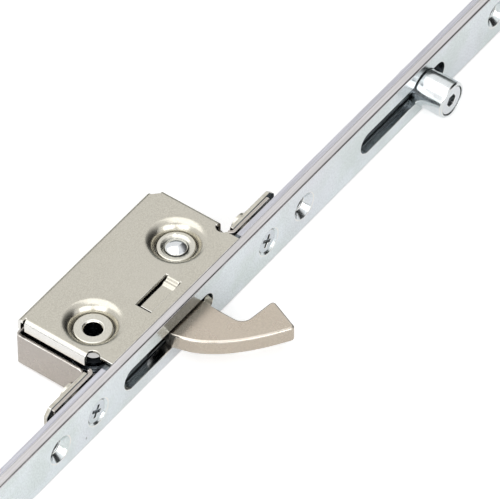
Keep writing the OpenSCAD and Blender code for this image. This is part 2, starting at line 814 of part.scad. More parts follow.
faceplate();
drive_rail();
case_tray();
case_cover();
cover_pivot_collar();
tray_pivot_collar();
cover_guide_button();
tray_guide_button();
left_foot_plate();
right_foot_plate();
press_nuts();
screw_spacers();
case_screws();
hook();
hook_pin();
hook_washers();
roller_stud();
stud_washer();
stud_spring_washer();
roller_sleeve();
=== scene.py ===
"""Hook case and roller stretch of a multipoint door lock, lying on its side in a small studio."""

import json
from math import cos, radians, sin

import bmesh
import bpy
from bpy.props import FloatProperty, FloatVectorProperty, PointerProperty
from mathutils import Matrix, Vector


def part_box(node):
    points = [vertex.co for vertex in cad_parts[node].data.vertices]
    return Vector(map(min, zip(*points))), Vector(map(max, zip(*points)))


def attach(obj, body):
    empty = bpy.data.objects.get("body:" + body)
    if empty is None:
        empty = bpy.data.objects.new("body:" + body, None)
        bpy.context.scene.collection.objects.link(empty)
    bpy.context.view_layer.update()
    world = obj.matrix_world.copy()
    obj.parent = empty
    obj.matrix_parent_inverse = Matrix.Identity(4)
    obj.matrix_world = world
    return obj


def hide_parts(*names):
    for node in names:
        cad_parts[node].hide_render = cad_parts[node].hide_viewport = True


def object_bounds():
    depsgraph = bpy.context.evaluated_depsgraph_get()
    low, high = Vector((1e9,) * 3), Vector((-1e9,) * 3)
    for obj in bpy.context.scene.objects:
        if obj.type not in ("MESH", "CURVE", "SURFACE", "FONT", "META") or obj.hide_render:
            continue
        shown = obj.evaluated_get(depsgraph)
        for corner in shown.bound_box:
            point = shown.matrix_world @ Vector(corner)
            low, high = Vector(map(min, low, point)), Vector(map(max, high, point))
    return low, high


bl_info = {
    "name": "Multipoint Lock Hook Case",
    "version": (1, 0, 0),
    "blender": (4, 5, 0),
    "location": "View3D > Sidebar > Lock",
    "description": "Dresses the hook case, hook, strip and roller of a multipoint door lock",
    "category": "Object",
}

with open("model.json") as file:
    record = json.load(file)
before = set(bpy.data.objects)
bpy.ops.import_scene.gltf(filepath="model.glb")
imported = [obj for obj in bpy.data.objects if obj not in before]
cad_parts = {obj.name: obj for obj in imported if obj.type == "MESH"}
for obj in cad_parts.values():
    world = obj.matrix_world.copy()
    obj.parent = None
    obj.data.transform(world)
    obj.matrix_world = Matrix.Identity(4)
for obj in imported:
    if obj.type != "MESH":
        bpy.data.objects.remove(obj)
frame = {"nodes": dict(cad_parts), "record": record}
cad_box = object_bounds()

MM = 0.001
SLOT_OF = {part["node"]: part["material_slot"] for part in frame["record"]["subparts"]}


def length_mm(name, description, default):
    """A length property, given in millimetres and kept in metres."""
    return FloatProperty(
        name=name, description=description, default=default * MM, min=0, precision=5, unit="LENGTH")


def metal_colour(name, description, default):
    """A linear colour property of a metal finish."""
    return FloatVectorProperty(
        name=name, description=description, default=default, size=3, min=0, max=1, subtype="COLOR")


class FinishSettings(bpy.types.PropertyGroup):
    """Colours of the finishes."""

    zinc: metal_colour("Bright Zinc", "Passivated zinc of the faceplate", (0.705, 0.745, 0.755))
    rail: metal_colour("Rail Zinc", "Zinc of the drive rail's edges", (0.55, 0.55, 0.60))
    # Colour of the painted shade in the slots, the case, the screws' recesses, the foot plates' seams
    # and round the collars' feet
    painted_shade: metal_colour("Oiled Steel", "Dark oiled metal inside slots and case", (0.080, 0.090, 0.098))
    rose: metal_colour("Rose Tint", "Faint pink of the strip's long edges", (0.660, 0.640, 0.635))
    cover: metal_colour("Cover Satin", "Satin nickel of the case cover", (0.550, 0.525, 0.455))
    tray: metal_colour("Tray Satin", "Satin nickel of the case tray", (0.490, 0.450, 0.410))
    collar: metal_colour("Collar Satin", "Satin nickel of the collars", (0.64, 0.62, 0.55))
    nickel: metal_colour("Hook Nickel", "Warm satin nickel of the hook", (0.530, 0.465, 0.385))
    steel: metal_colour("Polished Steel", "Polished steel of pin and stud", (0.72, 0.74, 0.76))
    chrome: metal_colour("Chrome", "Chrome of the roller", (0.74, 0.77, 0.78))
    screw: metal_colour("Screw Zinc", "Zinc of the case screws", (0.62, 0.65, 0.68))
    # This light colour is also painted as a highlight on the cover's left flange
    worn: metal_colour("Worn Edge", "Bright metal that shows on rubbed edges", (0.82, 0.81, 0.78))


class EdgeSettings(bpy.types.PropertyGroup):
    """Widths of the rounded edges."""

    strip: length_mm("Strip Edge", "Rounding of the punched edges of faceplate and rail", 0.22)
    sheet: length_mm("Sheet Edge", "Rounding of the sheared edges of the case's sheet", 0.2)
    plate: length_mm("Plate Edge", "Rounding of the foot plates", 0.2)
    hook: length_mm("Hook Edge", "Tumbled rounding of the hook's claw", 0.8)
    turned: length_mm("Turned Edge", "Rounding of collars, nuts, pin and roller", 0.12)
    small: length_mm("Small Edge", "Rounding of the screws, with their cross recess", 0.1)


class StudioSettings(bpy.types.PropertyGroup):
    """Camera and lamps."""

    distance: FloatProperty(
        name="Camera Distance", description="Distance of the camera from the strip",
        default=1.8804, min=0.5, unit="LENGTH")
    lens: FloatProperty(
        name="Lens", description="Focal length of the camera in millimetres", default=450.7, min=50)
    azimuth: FloatProperty(
        name="Azimuth", description="Direction that the camera looks along, from +Y towards +X",
        default=radians(53.519), subtype="ANGLE")
    elevation: FloatProperty(
        name="Elevation", description="Height of the camera above the horizon",
        default=radians(47.535), subtype="ANGLE")
    lamp_level: FloatProperty(
        name="Lamp Level", description="Strength of all the lamps", default=1.0, min=0)


# Studio: sizes and places in metres, the sensor in millimetres, and glows where 1 is white

CAMERA_AIM = Vector((0.016749, -0.012230, 0.027625))
SENSOR_WIDTH = 36
CLIP_RANGE = (0.05, 50)

LAMP_AIM = Vector((0.02, 0.0, 0.0))
OVERHEAD_SIZE = (2.2, 2.1)
OVERHEAD_PLACE = (-0.38, 0.42, 1.86)
OVERHEAD_WATTS = 15.5
SIDE_BOX_SIZE = (1.6, 1.4)
SIDE_BOX_WATTS = 13
LEFT_BOX_PLACE = (-1.74, -0.17, 0.82)
FRONT_BOX_PLACE = (-0.67, -1.62, 0.82)

# Sky: how strongly it lights the lock, and how white it is where it is seen
SKY_FILL = 0.3
SKY_SEEN = 1.0
WHITE = (1, 1, 1, 1)

# Table: half its side, its paint, and its glow to the camera and in reflections
TABLE_HALF = 4
TABLE_WHITE = (0.9, 0.9, 0.9, 1)
TABLE_TO_CAMERA = 0.5
TABLE_IN_REFLECTIONS = 0.24

# Low dark wall all round the room
WALL_RADIUS = 3.0
WALL_HEIGHT = 0.4
WALL_GAP = 0.01
WALL_GLOW = (0.05, 0.055, 0.055)

# Wall at the right, which fades from dark at the table to light: step's foot, top and glow
SIDE_AZIMUTH = -24
SIDE_DISTANCE = 2.2
SIDE_WIDTH = 3.4
SIDE_STEPS = (
    (0.0, 0.9, 0.03),
    (0.9, 1.3, 0.06),
    (1.3, 1.7, 0.11),
    (1.7, 2.1, 0.19),
    (2.1, 2.6, 0.32),
    (2.6, 3.2, 0.52),
    (3.2, 3.8, 0.75),
)

# Grey panel on the far side, opposite the camera
CORNER_AZIMUTH = 33
CORNER_DISTANCE = 2.4
CORNER_WIDTH = 2.4
CORNER_FOOT = 0.4
CORNER_TOP = 1.16
CORNER_GLOW = (0.24, 0.26, 0.25)

# Dark spot where the camera stands
CAMERA_CARD_DISTANCE = 2.1
CAMERA_CARD_HALF = 0.13
CAMERA_CARD_GLOW = (0.2, 0.2, 0.21)


def link_mesh(name, bm):
    """Turns a bmesh into an object at the origin."""
    mesh = bpy.data.meshes.new(name)
    bm.to_mesh(mesh)
    bm.free()
    made = bpy.data.objects.new(name, mesh)
    bpy.context.scene.collection.objects.link(made)
    return made


def empty_material(name):
    """New material that holds only its output, given with its nodes, links and output."""
    mat = bpy.data.materials.new(name)
    mat.use_nodes = True
    nodes, links = mat.node_tree.nodes, mat.node_tree.links
    nodes.clear()
    return mat, nodes, links, nodes.new("ShaderNodeOutputMaterial")


def white_world():
    """World that is white to the camera, in reflections and through glass, and else lights softly."""
    world = bpy.data.worlds.new("soft_white")
    bpy.context.scene.world = world
    world.use_nodes = True
    nodes, links = world.node_tree.nodes, world.node_tree.links
    nodes.clear()
    out = nodes.new("ShaderNodeOutputWorld")
    path = nodes.new("ShaderNodeLightPath")
    seen = path.outputs["Is Camera Ray"]
    for ray in ("Is Glossy Ray", "Is Transmission Ray"):
        either = nodes.new("ShaderNodeMath")
        either.operation = "MAXIMUM"
        links.new(seen, either.inputs[0])
        links.new(path.outputs[ray], either.inputs[1])
        seen = either.outputs[0]
    mix = nodes.new("ShaderNodeMixShader")
    links.new(seen, mix.inputs[0])
    for strength, socket in ((SKY_FILL, mix.inputs[1]), (SKY_SEEN, mix.inputs[2])):
        background = nodes.new("ShaderNodeBackground")
        background.inputs["Color"].default_value = WHITE
        background.inputs["Strength"].default_value = strength
        links.new(background.outputs[0], socket)
    links.new(mix.outputs[0], out.inputs["Surface"])


def camera_axes(azimuth, elevation):
    """Right, up and forward of a level camera that looks down at the object."""
    forward = Vector((sin(azimuth) * cos(elevation), cos(azimuth) * cos(elevation), -sin(elevation)))
    right = forward.cross(Vector((0, 0, 1))).normalized()
    return right, right.cross(forward), forward


def facing_camera(settings, centre):
    """Placement of a card or camera at a point, square to the camera's line of sight."""
    right, up, forward = camera_axes(settings.azimuth, settings.elevation)
    place = Matrix((right, up, -forward)).transposed().to_4x4()
    place.translation = centre
    return place


def add_camera(settings):
    """Camera at the photograph's angle, aimed between the case and the roller."""
    forward = camera_axes(settings.azimuth, settings.elevation)[2]
    camera = bpy.data.objects.new("camera", bpy.data.cameras.new("camera"))
    camera.data.sensor_width = SENSOR_WIDTH
    camera.data.lens = settings.lens
    camera.data.clip_start, camera.data.clip_end = CLIP_RANGE
    camera.matrix_world = facing_camera(settings, CAMERA_AIM - settings.distance * forward)
    bpy.context.scene.collection.objects.link(camera)
    bpy.context.scene.camera = camera


def add_lamp(name, size, place, power):
    """Rectangular soft box that faces the lock."""
    lamp = bpy.data.lights.new(name, "AREA")
    lamp.shape = "RECTANGLE"
    lamp.size, lamp.size_y = size
    lamp.energy = power
    box = bpy.data.objects.new(name, lamp)
    turn = (LAMP_AIM - Vector(place)).to_track_quat("-Z", "Y")
    box.matrix_world = Matrix.Translation(place) @ turn.to_matrix().to_4x4()
    bpy.context.scene.collection.objects.link(box)


def table_finish():
    """Matt white that glows to the camera, and less in reflections, and keeps shadows."""
    mat, nodes, links, out = empty_material("table_white")
    matt = nodes.new("ShaderNodeBsdfDiffuse")
    matt.inputs["Color"].default_value = TABLE_WHITE
    path = nodes.new("ShaderNodeLightPath")
    reflected = nodes.new("ShaderNodeMath")
    reflected.operation = "MULTIPLY"
    reflected.inputs[1].default_value = TABLE_IN_REFLECTIONS
    links.new(path.outputs["Is Glossy Ray"], reflected.inputs[0])
    strength = nodes.new("ShaderNodeMath")
    strength.operation = "MULTIPLY_ADD"
    strength.inputs[1].default_value = TABLE_TO_CAMERA
    links.new(path.outputs["Is Camera Ray"], strength.inputs[0])
    links.new(reflected.outputs[0], strength.inputs[2])
    glow = nodes.new("ShaderNodeEmission")
    links.new(strength.outputs[0], glow.inputs["Strength"])
    both = nodes.new("ShaderNodeAddShader")
    links.new(matt.outputs[0], both.inputs[0])
    links.new(glow.outputs[0], both.inputs[1])
    links.new(both.outputs[0], out.inputs["Surface"])
    return mat


def add_table(z):
    """White table top under the lock."""
    bm = bmesh.new()
    bmesh.ops.create_grid(bm, x_segments=1, y_segments=1, size=TABLE_HALF)
    bmesh.ops.translate(bm, verts=bm.verts, vec=(0, 0, z))
    table = link_mesh("table_top", bm)
    table.data.materials.append(table_finish())


def show_in_reflections(piece, glow):
    """Makes a glowing stage piece that only reflections show."""
    mat, nodes, links, out = empty_material(piece.name + "_glow")
    emission = nodes.new("ShaderNodeEmission")
    emission.inputs["Color"].default_value = (*glow, 1)
    links.new(emission.outputs[0], out.inputs["Surface"])
    piece.data.materials.append(mat)
    piece.visible_camera = False
    piece.visible_diffuse = False
    piece.visible_shadow = False


def add_card(name, place, half, glow):
    """Flat card: a square of some half width, which a matrix stretches and places."""
    bm = bmesh.new()
    bmesh.ops.create_grid(bm, x_segments=1, y_segments=1, size=half, matrix=place)
    show_in_reflections(link_mesh(name, bm), glow)


def add_panel(name, azimuth, distance, width, foot, top, glow):
    """Upright panel beside the table; its azimuth runs from +X towards +Y."""
    turn = radians(azimuth)
    away = Vector((cos(turn), sin(turn), 0))
    half_side = Vector((-sin(turn), cos(turn), 0)) * width / 2
    half_height = Vector((0, 0, (top - foot) / 2))
    place = Matrix((half_side, half_height, away)).transposed().to_4x4()
    place.translation = away * distance + Vector((0, 0, (foot + top) / 2))
    add_card(name, place, 1, glow)


def add_room(settings, table_z):
    """Dark sides of the room."""
    bm = bmesh.new()
    bmesh.ops.create_cone(
        bm, cap_ends=False, segments=64, radius1=WALL_RADIUS, radius2=WALL_RADIUS, depth=WALL_HEIGHT,
        matrix=Matrix.Translation((0, 0, table_z + WALL_GAP + WALL_HEIGHT / 2)))
    show_in_reflections(link_mesh("room_wall", bm), WALL_GLOW)
    for step, (foot, top, grey) in enumerate(SIDE_STEPS):
        add_panel(
            f"room_side_{step}", SIDE_AZIMUTH, SIDE_DISTANCE, SIDE_WIDTH,
            table_z + foot, table_z + top, (grey, grey, grey))
    add_panel(
        "room_corner", CORNER_AZIMUTH, CORNER_DISTANCE, CORNER_WIDTH,
        table_z + CORNER_FOOT, table_z + CORNER_TOP, CORNER_GLOW)
    forward = camera_axes(settings.azimuth, settings.elevation)[2]
    place = facing_camera(settings, -CAMERA_CARD_DISTANCE * forward)
    add_card("camera_side", place, CAMERA_CARD_HALF, CAMERA_CARD_GLOW)


# Materials: where on the lock the finishes change, in metres, and the strengths of their patterns

# Half widths of the borders between finishes, and the same for a border by how a face is turned
SOFT = 0.2 * MM
SHARP = 0.5 * SOFT
TURN_BLUR = 0.05
# Mesh layer that marks the rounded edges, where the plating is rubbed
EDGE_LAYER = "edge_wear"
# Colour sockets of a Mix node: its two colours, and the result among its outputs
MIX_FIRST = 6
MIX_SECOND = 7
MIX_RESULT = 2

# Half width of the strip's face between its rose edges
FACE_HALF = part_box("faceplate")[1].z - 0.7 * MM
# Depth past the strip and rail, where the foot plates and nuts lie
BEHIND_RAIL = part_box("drive_rail")[1].y + 0.3 * MM
# Half width of the rail's middle, which the slots show, and half length of its stretch at the case
RAIL_MIDDLE_HALF = 5.2 * MM
CASE_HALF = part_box("case_cover")[1].x - 0.25 * MM
# Inside of the flange at the left of the cover
FLANGE_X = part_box("case_cover")[0].x + 1.25 * MM
# Cover's inner area, where upright faces are the sheared ones of the tongue and its window
SHEARED_HALF = 31 * MM
SHEARED_BACK = 33 * MM
# Height below which the tray's floor lies, and depth behind which its back wall stands
TRAY_DEEP_Z = -4 * MM
TRAY_BACK_Y = 30 * MM
# Depths between which a screw's recess lies
RECESS_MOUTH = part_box("case_screws")[0].y + 0.2 * MM
RECESS_END = 4 * MM
# Seam between a foot and its plate, where shade is painted
SEAM_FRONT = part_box("left_foot_plate")[0].y - 0.2 * MM
SEAM_BACK = SEAM_FRONT + 0.45 * MM
# Height above which no shade is painted on a collar
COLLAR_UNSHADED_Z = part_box("cover_pivot_collar")[1].z - 0.65 * MM

# Roughness of each finish, which its own pattern then varies
ROUGHNESS = {
    "bright_zinc": 0.17,
    "rail_zinc": 0.26,
    "cover_satin": 0.23,
    "tray_satin": 0.26,
    "collar_satin": 0.2,
    "screw_zinc": 0.2,
    "hook_nickel": 0.27,
    "polished_steel": 0.13,
    "chrome": 0.17,
}
SHEARED_ROUGHNESS = 0.62
# How far painted shade covers a screw's recess, and how dark and how light the streaks of the painted
# shade are
RECESS_SHADE = 0.6
SHADE_DARKEST = 0.4
SHADE_STREAK_LIGHT = 3.2
COLLAR_SHADE_STREAK_LIGHT = 0.8
# How far the zinc's clouds go lighter and darker
MOTTLING = 0.075
BUMP_HEIGHT = 0.1 * MM

# Stretch of a pattern along X, for drawn lines and streaks that run along the strip
DRAWN = (0.03, 1, 1)
ROSE_STREAKS = (0.02, 1, 1)
SHADE_STREAKS = (0.04, 1, 1)
# Stretch of the turning marks round the roller, and the even grain of pin and stud
ROUND_ROLLER = (0.1, 1, 0.1)
EVEN = (1, 1, 1)


def finish_name(slot):
    """Name of a slot's finish, which is not that of the CAD model's plain material."""
    return "lock_" + slot


def chosen(name):
    """Colour of a metal in the settings."""
    return tuple(getattr(bpy.context.scene.lock_finish, name))


def shade(colour, factor, shift=(0, 0, 0)):
    """Colour made lighter or darker, then shifted, and kept between black and white."""
    return tuple(min(1.0, max(0.0, c * factor + s)) for c, s in zip(colour, shift))


class Finish:
    """Node tree of one metal, built from the object's own coordinates."""

    def __init__(self, slot, metal):
        self.mat = bpy.data.materials.new(finish_name(slot))
        self.mat.use_nodes = True
        self.nodes, self.links = self.mat.node_tree.nodes, self.mat.node_tree.links
        self.shader = self.nodes["Principled BSDF"]
        self.shader.inputs["Metallic"].default_value = 1
        self.coords = self.nodes.new("ShaderNodeTexCoord").outputs["Object"]
        self.colour = chosen(metal)
        self.roughness = ROUGHNESS[slot]

    def feed(self, socket, value):
        """Links a socket to another, or sets it to a number or colour."""
        if isinstance(value, bpy.types.NodeSocket):
            self.links.new(value, socket)
        elif isinstance(value, tuple) and len(value) == 3 and len(socket.default_value) == 4:
            socket.default_value = (*value, 1)
        else:
            socket.default_value = value

    def add(self, kind, **inputs):
        """New node with some of its inputs fed by name."""
        node = self.nodes.new(kind)
        for name, value in inputs.items():
            self.feed(node.inputs[name.replace("_", " ")], value)
        return node

    def calculate(self, operation, *values):
        """Result of one sum."""
        node = self.nodes.new("ShaderNodeMath")
        node.operation = operation
        for socket, value in zip(node.inputs, values):
            self.feed(socket, value)
        return node.outputs[0]

    def times(self, first, second):
        """Product of two values, or where both masks hold."""
        return self.calculate("MULTIPLY", first, second)

    def either(self, first, second):
        """Larger of two values, or where one of two masks holds."""
        return self.calculate("MAXIMUM", first, second)

    def size_of(self, value):
        """Value without its sign."""
        return self.calculate("ABSOLUTE", value)

    def noise(self, scale, detail, stretch=None):
        """Noise in the object's own coordinates, drawn out along an axis if need be."""
        vector = self.coords
        if stretch:
            mapping = self.add("ShaderNodeMapping", Vector=vector, Scale=stretch)
            vector = mapping.outputs[0]
        noise = self.add("ShaderNodeTexNoise", Vector=vector, Scale=scale, Detail=detail)
        return noise.outputs["Fac"]

    def ramp(self, value, low, high, start, end):
        """Runs from low to high while the value runs from start to end."""
        node = self.add(
            "ShaderNodeMapRange", Value=value, From_Min=start, From_Max=end, To_Min=low, To_Max=high)
        return node.outputs[0]

    def contrast(self, pattern, start, end):
        """Pattern stretched from its start and end to 0 and 1."""
        return self.ramp(pattern, 0, 1, start, end)

    def patches(self, scale, detail, start, end, stretch=None):
        """Noise with its contrast raised."""
        return self.contrast(self.noise(scale, detail, stretch), start, end)

    def gloss(self, pattern, low, high, start=0.3, end=0.7):
        """Roughness that varies with a pattern, as shares of the finish's own."""
        return self.ramp(pattern, self.roughness * low, self.roughness * high, start, end)

    def tint(self, share, first, second):
        """Colour that runs from one shade to another with a pattern."""
        node = self.nodes.new("ShaderNodeMix")
        node.data_type = "RGBA"
        self.feed(node.inputs["Factor"], share)
        self.feed(node.inputs[MIX_FIRST], first)
        self.feed(node.inputs[MIX_SECOND], second)
        return node.outputs[MIX_RESULT]

    def axis(self, vector, name):
        """One of the three parts of a vector."""
        return self.add("ShaderNodeSeparateXYZ", Vector=vector).outputs[name]

    def place(self, name):
        """One coordinate of the point, in metres."""
        return self.axis(self.coords, name)

    def facing(self, name):
        """How far the surface faces along one axis."""
        return self.axis(self.nodes.new("ShaderNodeNewGeometry").outputs["True Normal"], name)

    def above(self, value, limit, blur=SOFT):
        """1 where a value is over a limit, with a soft border."""
        return self.ramp(value, 0, 1, limit - blur, limit + blur)

    def below(self, value, limit, blur=SOFT):
        """1 where a value is under a limit, with a soft border."""
        return self.ramp(value, 1, 0, limit - blur, limit + blur)

    def wear(self):
        """How far the plating is worn bright: on rounded edges, in patches."""
        edge = self.add("ShaderNodeAttribute")
        edge.attribute_name = EDGE_LAYER
        wear_and_highlight = self.ramp(self.noise(scale=260, detail=3), low=0.35, high=1, start=0.4, end=0.62)
        return self.times(edge.outputs["Fac"], wear_and_highlight)

    def finish(self, base, roughness, height, depth, painted_shade=None, shade_streak_light=SHADE_STREAK_LIGHT):
        """Closes the tree: worn edges over the plating, and painted shade with lighter streaks over
        both.
        """
        shown = self.tint(self.wear(), base, chosen("worn"))
        # Painted shade, with lighter streaks, wherever the mask holds
        if painted_shade is not None:
            streaks = self.patches(scale=900, detail=3, start=0.35, end=0.7, stretch=SHADE_STREAKS)
            shade_colour = chosen("painted_shade")
            shown = self.tint(painted_shade, shown, self.tint(streaks, shade(shade_colour, SHADE_DARKEST), shade(shade_colour, shade_streak_light)))
        self.feed(self.shader.inputs["Base Color"], shown)
        self.feed(self.shader.inputs["Roughness"], roughness)
        bump = self.add("ShaderNodeBump", Height=height, Strength=depth, Distance=BUMP_HEIGHT)
        self.links.new(bump.outputs[0], self.shader.inputs["Normal"])


def highlighted_flange(f):
    """Flange folded down at the left of the cover, with a painted highlight on its outer face."""
    outward = f.below(f.facing("X"), limit=-0.5, blur=0.3)
    return f.times(outward, f.below(f.place("X"), FLANGE_X))


def under_cover(f):
    """Inner side of the cover, where shade is painted."""
    return f.below(f.facing("Z"), limit=-0.25, blur=TURN_BLUR)


def inside_tray(f):
    """Inner side of the tray, where shade is painted: its floor and its back wall."""
    upward = f.above(f.facing("Z"), limit=0.25, blur=TURN_BLUR)
    floor = f.times(upward, f.below(f.place("Z"), TRAY_DEEP_Z))
    forward = f.below(f.facing("Y"), limit=-0.5, blur=TURN_BLUR)
    back = f.times(forward, f.above(f.place("Y"), TRAY_BACK_Y))
    return f.either(floor, back)


def in_the_recess(f):
    """Cross recess of a screw, below its head's face, where shade is painted over part of the recess.
    """
    deep = f.times(f.above(f.place("Y"), RECESS_MOUTH, SHARP), f.below(f.place("Y"), RECESS_END))
    return f.times(deep, RECESS_SHADE)


def plate_joint(f):
    """Painted shade along the seam between a foot and the plate behind it."""
    return f.times(f.above(f.place("Y"), SEAM_FRONT), f.below(f.place("Y"), SEAM_BACK, SHARP))


def in_the_dish(f):
    """Bore and foot of a collar, below its top, where shade is painted."""
    return f.below(f.size_of(f.place("Z")), COLLAR_UNSHADED_Z)


def sheared(f):
    """Sheared faces of the cover's tongue and of its window."""
    upright = f.below(f.size_of(f.facing("Z")), limit=0.3, blur=TURN_BLUR)
    inner = f.times(
        f.below(f.size_of(f.place("X")), SHEARED_HALF), f.below(f.place("Y"), SHEARED_BACK))
    return f.times(upright, inner)


def passivated(f):
    """Cloudy zinc: cool, green and lavender tints, with a few dark specks."""
    greenish = shade(f.colour, 1 - MOTTLING, shift=(-0.02, 0.008, -0.02))
    bluish = shade(f.colour, 1 + MOTTLING, shift=(-0.004, 0, 0.02))
    lavender = shade(f.colour, 0.96, shift=(0.03, -0.018, 0.035))
    cloudy = f.tint(f.patches(scale=75, detail=6, start=0.42, end=0.58), greenish, bluish)
    stained = f.tint(f.patches(scale=24, detail=4, start=0.5, end=0.72), cloudy, lavender)
    dull = f.tint(0.5, stained, shade(f.colour, 0.86))
    bright = f.tint(0.5, stained, shade(f.colour, 1.12))
    grainy = f.tint(f.patches(scale=1500, detail=2, start=0.36, end=0.64), dull, bright)
    specks = f.ramp(f.noise(scale=420, detail=1), low=0, high=0.7, start=0.76, end=0.8)
    return f.tint(specks, grainy, shade(f.colour, 0.35))


def rose_streaks(f):
    """Faint pink streaks of the strip's long edges."""
    rose = chosen("rose")
    streaks = f.patches(scale=1100, detail=2, start=0.3, end=0.7, stretch=ROSE_STREAKS)
    return f.tint(streaks, shade(rose, 0.88), shade(rose, 1.1, shift=(0, 0, 0.02)))


def warm_nickel(f):
    """Warmer plating of the foot plates and nuts behind the rail."""
    warm = shade(chosen("cover"), 1.18)
    return f.tint(f.patches(scale=500, detail=4, start=0.35, end=0.65), shade(warm, 0.8), warm)


def zinc_finish(slot, metal, inside):
    """Bright zinc with fine drawing lines along the strip and rose long edges."""
    f = Finish(slot, metal)
    long_edge = f.above(f.size_of(f.place("Z")), FACE_HALF)
    strip = f.tint(long_edge, passivated(f), rose_streaks(f))
    base = f.tint(f.above(f.place("Y"), BEHIND_RAIL), strip, warm_nickel(f))
    rough = f.gloss(f.noise(scale=160, detail=4), low=0.7, high=1.5, start=0.35, end=0.65)
    drawn = f.noise(scale=1600, detail=2, stretch=DRAWN)
    # Painted shade where the mask holds: the seam behind a foot, or a screw's recess
    f.finish(base, rough, height=drawn, depth=0.07, painted_shade=inside(f))


def rail_finish(slot, metal):
    """Drawn rail: bright along its edges, with painted shade in its middle, where the slots show it,
    and along its stretch at the case.
    """
    f = Finish(slot, metal)
    drawn = f.noise(scale=1300, detail=3, stretch=DRAWN)
    lines = f.contrast(drawn, start=0.3, end=0.7)
    base = f.tint(lines, shade(f.colour, 0.9), shade(f.colour, 1.12))
    # Painted shade in the middle that the slots show and along the stretch inside the case
    middle = f.below(f.size_of(f.place("Z")), RAIL_MIDDLE_HALF)
    painted_shade = f.either(middle, f.below(f.size_of(f.place("X")), CASE_HALF))
    f.finish(base, f.gloss(drawn, low=0.8, high=1.3), height=drawn, depth=0.3, painted_shade=painted_shade)


def satin_finish(
        slot, metal, grain=2600, depth=0.16, inside=None, wear_and_highlight=None, matt=None, shade_streak_light=SHADE_STREAK_LIGHT):
    """Satin plating: fine grain in colour and height, with soft clouds."""
    f = Finish(slot, metal)
    speckle = f.noise(grain, detail=2)
    grains = f.contrast(speckle, start=0.32, end=0.68)
    grainy = f.tint(grains, shade(f.colour, 0.9), shade(f.colour, 1.1))
    clouds = f.ramp(f.noise(scale=55, detail=4), low=0, high=0.5, start=0.35, end=0.65)
    base = f.tint(clouds, grainy, shade(f.colour, 1.04, shift=(0, 0.003, 0.012)))
    # Painted highlight: where the mask holds, the satin turns to the light worn colour
    if wear_and_highlight:
        base = f.tint(wear_and_highlight(f), base, shade(chosen("worn"), 1.1))
    rough = f.gloss(f.noise(scale=120, detail=3), low=0.88, high=1.15)
    if matt:
        rough = f.either(rough, f.times(matt(f), SHEARED_ROUGHNESS))
    f.finish(base, rough, speckle, depth, inside(f) if inside else None, shade_streak_light)


def ground_finish(slot, metal, stretch):
    """Turned and ground metal: fine rings or lines in gloss and colour."""
    f = Finish(slot, metal)
    rings = f.noise(scale=1400, detail=3, stretch=stretch)
    marks = f.contrast(rings, start=0.3, end=0.7)
    base = f.tint(marks, shade(f.colour, 0.94), shade(f.colour, 1.05))
    f.finish(base, f.gloss(rings, low=0.7, high=1.4), height=rings, depth=0.05)


def make_finishes():
    """Finishes of all the slots."""
    zinc_finish("bright_zinc", "zinc", plate_joint)
    zinc_finish("screw_zinc", "screw", in_the_recess)
    rail_finish("rail_zinc", "rail")
    # Cover: a painted highlight on the outer face of its left flange, and painted shade on its inner
    # side
    satin_finish("cover_satin", "cover", inside=under_cover, wear_and_highlight=highlighted_flange, matt=sheared)
    # Tray: painted shade on its floor and back wall inside
    satin_finish("tray_satin", "tray", inside=inside_tray)
    # Collars: painted shade on the bore and foot, with fainter streaks
    satin_finish(
        "collar_satin", "collar", grain=3200, depth=0.1, inside=in_the_dish, shade_streak_light=COLLAR_SHADE_STREAK_LIGHT)
    satin_finish("hook_nickel", "nickel", grain=2200, depth=0.12)
    ground_finish("polished_steel", "steel", EVEN)
    ground_finish("chrome", "chrome", ROUND_ROLLER)


# Pieces: how the CAD mesh is cleaned, and which of its edges are rounded and shaded smooth

WELD = 0.002 * MM
FLAT = radians(0.4)
CRISP = radians(32)
SMOOTH = radians(38)
CLAW_BACK = 0.5 * MM
CLAW_RUB = 0.3


def all_edges(edge):
    """Any edge."""
    return True


def claw_edges(edge):
    """Edges of the hook's claw, in front of the faceplate."""
    return max(vert.co.y for vert in edge.verts) < CLAW_BACK


def rounded_mesh(node, edge, segments, within, rub):
    """Mesh of a CAD node with merged faces and rounded edges, which its wear layer marks."""
    bm = bmesh.new()
    bm.from_mesh(frame["nodes"][node].data)
    bmesh.ops.remove_doubles(bm, verts=bm.verts, dist=WELD)
    bmesh.ops.dissolve_limit(bm, angle_limit=FLAT, verts=bm.verts, edges=bm.edges)
    worn = bm.loops.layers.float_color.new(EDGE_LAYER)
    crisp = [e for e in bm.edges if e.is_manifold and e.calc_face_angle() > CRISP and within(e)]
    made = bmesh.ops.bevel(
        bm, geom=crisp, offset=edge, offset_type="OFFSET", segments=segments, profile=0.5,
        affect="EDGES", clamp_overlap=False, material=-1)
    rounded = set(made["faces"])
    for face in bm.faces:
        face.smooth = True
        amount = rub if face in rounded else 0.0
        for loop in face.loops:
            loop[worn] = (amount, amount, amount, 1)
    return bm


def skin(node, edge, segments=2, within=all_edges, rub=1.0):
    """Piece with rounded, worn edges in the place of a CAD node: same body, slot and finish."""
    piece = link_mesh(node + "_skin", rounded_mesh(node, edge, segments, within, rub))
    piece.data.set_sharp_from_angle(angle=SMOOTH)
    even = piece.modifiers.new("even_shading", "WEIGHTED_NORMAL")
    even.keep_sharp = True
    bodies = frame["record"]["behaviour"]["bodies"]
    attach(piece, next(body for body, members in bodies.items() if node in members))
    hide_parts(node)
    piece.data.materials.clear()
    piece.data.materials.append(bpy.data.materials[finish_name(SLOT_OF[node])])


def dress(node):
    """Gives a CAD node that keeps its own mesh the finish of its slot."""
    kept = frame["nodes"][node]
    if not kept.data.materials:
        kept.data.materials.append(None)
    for holder in kept.material_slots:
        holder.material = bpy.data.materials[finish_name(SLOT_OF[node])]


